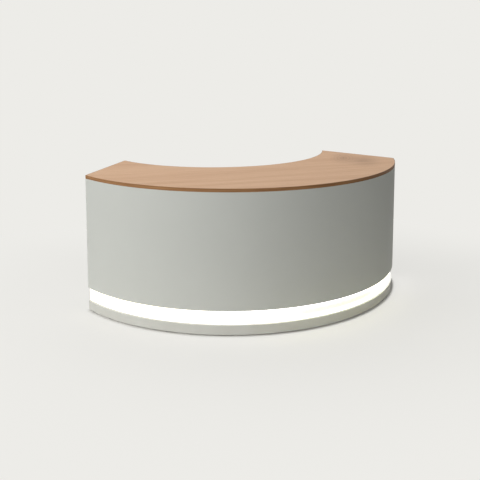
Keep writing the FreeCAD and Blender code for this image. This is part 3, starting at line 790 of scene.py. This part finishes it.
def clip_pins():
    """A pin each side of the lead in every lead clip."""
    stand = cabinet_matrix(1)
    mesh = bmesh.new()
    for solid in solids_of("lead_clips"):
        inside = [stand.inverted() @ corner for corner in solid]
        low, high = extent(inside)
        reach = (high.y - low.y) * CLIP_PIN_SHARE
        for depth in (low.y + reach, high.y - reach):
            seat = stand @ Vector((low.x, depth, (low.z + high.z) / 2))
            add_screw(mesh, seat, stand.to_3x3() @ Vector((-1, 0, 0)), CLIP_PIN)
    return new_piece("lead_clip_pins", mesh, pieces_body, SCREW_FINISH)


def add_thread(mesh, axis_x, axis_y, low, high):
    """A screw with a helical thread, closed at both ends."""
    turns = int((high - low) / THREAD_PITCH - 0.5)
    steps = turns * THREAD_SIDES
    root = []
    crest = []
    for step in range(steps + 1):
        angle = 2 * math.pi * step / THREAD_SIDES
        out = Vector((math.cos(angle), math.sin(angle), 0))
        foot = Vector((axis_x, axis_y, low + THREAD_PITCH * step / THREAD_SIDES))
        root.append(mesh.verts.new(foot + out * THREAD_ROOT))
        crest.append(mesh.verts.new(foot + out * THREAD_CREST + Vector((0, 0, THREAD_PITCH / 2))))
    for step in range(steps):
        mesh.faces.new((root[step], root[step + 1], crest[step + 1], crest[step]))
    for step in range(steps - THREAD_SIDES):
        above = step + THREAD_SIDES
        mesh.faces.new((crest[step], crest[step + 1], root[above + 1], root[above]))
    lower_rim = root[:THREAD_SIDES + 1] + crest[:1]
    upper_rim = crest[steps - THREAD_SIDES:] + root[-1:]
    for rim, level in ((lower_rim, low), (upper_rim, high)):
        middle = mesh.verts.new((axis_x, axis_y, level))
        for first, second in zip(rim, rim[1:] + rim[:1]):
            mesh.faces.new((first, second, middle))


def threaded_foot(node):
    """A levelling foot: the pad as it is, and its plain stud replaced by a threaded one."""
    low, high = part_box(node)
    mesh = bmesh.new()
    mesh.from_mesh(frame["nodes"][node].data)
    bmesh.ops.remove_doubles(mesh, verts=mesh.verts, dist=WELD)
    stud = [corner for corner in mesh.verts if corner.co.z > FOOT_TOP + FOOT_SINK]
    bmesh.ops.delete(mesh, geom=stud, context="VERTS")
    bmesh.ops.holes_fill(mesh, edges=[edge for edge in mesh.edges if edge.is_boundary])
    add_thread(mesh, (low.x + high.x) / 2, (low.y + high.y) / 2, FOOT_TOP - FOOT_SINK, FOOT_HEIGHT)
    foot = new_piece(f"{node}_threaded", mesh, node, FINISHES["foot_black"])
    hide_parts(node)


def make_feet():
    for side in ("left", "right"):
        for place in ("end_front", "end_rear", "inner_front", "inner_rear"):
            threaded_foot(f"{side}_{place}_foot")


def make_small_pieces():
    angle_screws("worktop_bracket_screws", "worktop_brackets", BRACKET_SCREW, side_of)
    angle_screws("shelf_support_screws", "shelf_supports", SUPPORT_SCREW, side_of)
    for number in (1, 2, 3):
        drawer_screws(number)
    light_end_cap("left_light_end_cap", -1)
    light_end_cap("right_light_end_cap", 1)
    clip_pins()


# Room, light and camera

def seen_directly(field):
    """1 for rays from the camera, and for those that a mirror or glass sends on."""
    camera = field.node("LightPath", output="Is Camera Ray")
    outputs = camera.output.node.outputs
    mirror = Field(field.tree, outputs["Is Glossy Ray"])
    glass = Field(field.tree, outputs["Is Transmission Ray"])
    return between(camera + mirror + glass, 0, 1, smooth=False)


def outside_footprint(place):
    """Distance on the floor outside the desk's outline, and less than 0 under the desk."""
    across, along, _ = axes(place)
    forward = along - arc_centre.y
    beyond_front = (across * across + forward * forward) ** 0.5 - OUTER_RADIUS
    behind = forward - INNER_SETBACK
    inside_rear = INNER_RADIUS - (across * across + behind * behind) ** 0.5
    sideways = across.math("ABSOLUTE", across, 0)
    beyond_end = sideways * math.cos(END_ANGLE) + forward * math.sin(END_ANGLE) - END_DISTANCE
    behind_ends = forward - REAR_LINE
    outside = across.math("MAXIMUM", beyond_front, beyond_end)
    return across.math("MAXIMUM", outside, across.math("MAXIMUM", inside_rear, behind_ends))


def make_floor():
    """A pale floor that fades into the room and keeps the desk's shadow."""
    mesh = bmesh.new()
    bmesh.ops.create_grid(mesh, x_segments=1, y_segments=1, size=FLOOR_SIZE / 2)
    data = bpy.data.meshes.new("floor")
    mesh.to_mesh(data)
    mesh.free()
    floor = bpy.data.objects.new("floor", data)
    bpy.context.scene.collection.objects.link(floor)
    material, place = new_finish("pale_floor")
    outside = outside_footprint(place)
    contact = 1 - between(outside, *FLOOR_CONTACT)
    far = between(outside, *FLOOR_FADE)
    shaded = (FLOOR_SHADE_SHARE + contact * (FLOOR_CONTACT_SHARE - FLOOR_SHADE_SHARE)) * (1 - far)
    looked_at = seen_directly(place)
    bounce = mix(between(outside, *FLOOR_BOUNCE_FADE), FLOOR_BOUNCE, FLOOR_BOUNCE_FAR)
    shade = place.node("BsdfDiffuse", inputs={"Color": mix(looked_at, bounce, ROOM)})
    plain = place.node("Emission", inputs={"Color": ROOM, "Strength": 1})
    share = looked_at * (1 - shaded)
    both = place.node("MixShader", inputs={0: share, 1: shade, 2: plain})
    place.node("OutputMaterial", inputs={"Surface": both})
    data.materials.append(material)


def make_room():
    """World light: a glow that is brightest on the left, in a room that looks evenly pale."""
    world = bpy.data.worlds.new("room")
    world.use_nodes = True
    world.node_tree.nodes.clear()
    bpy.context.scene.world = world
    sky = Field(world.node_tree).node("TexCoord", output="Generated")
    aim = (
        math.sin(GLOW_TURN) * math.cos(GLOW_RISE),
        -math.cos(GLOW_TURN) * math.cos(GLOW_RISE),
        math.sin(GLOW_RISE),
    )
    towards = sky.node("VectorMath", {"operation": "DOT_PRODUCT"}, {0: sky, 1: aim}, output="Value")
    level = GLOW_LEVEL + GLOW_SWING * towards
    glow = sky.node("Background", inputs={"Color": GLOW_COLOUR, "Strength": level})
    plain = sky.node("Background", inputs={"Color": ROOM, "Strength": 1})
    both = sky.node("MixShader", inputs={0: seen_directly(sky), 1: glow, 2: plain})
    sky.node("OutputWorld", inputs={"Surface": both})


def make_softbox(name, place, power):
    lamp = bpy.data.lights.new(name, "AREA")
    lamp.shape = "RECTANGLE"
    lamp.size, lamp.size_y = SOFTBOX_SIZE
    lamp.energy = power
    softbox = bpy.data.objects.new(name, lamp)
    softbox.location = place
    aim = Vector(SOFTBOX_AIM) - Vector(place)
    softbox.rotation_euler = aim.to_track_quat("-Z", "Y").to_euler()
    bpy.context.scene.collection.objects.link(softbox)


def make_camera():
    data = bpy.data.cameras.new("camera")
    data.lens = CAMERA_LENS
    data.shift_y = CAMERA_SHIFT
    camera = bpy.data.objects.new("camera", data)
    camera.location = CAMERA_PLACE
    camera.rotation_euler = (math.pi / 2 - CAMERA_TILT, 0, -CAMERA_TURN)
    bpy.context.scene.collection.objects.link(camera)
    bpy.context.scene.camera = camera


dress_nodes()
make_small_pieces()
make_feet()
make_floor()
make_room()
make_softbox("left_softbox", *LEFT_BOX)
make_softbox("front_softbox", *FRONT_BOX)
make_softbox("rear_softbox", *REAR_BOX)
make_camera()
bpy.context.scene.view_settings.view_transform = "Standard"
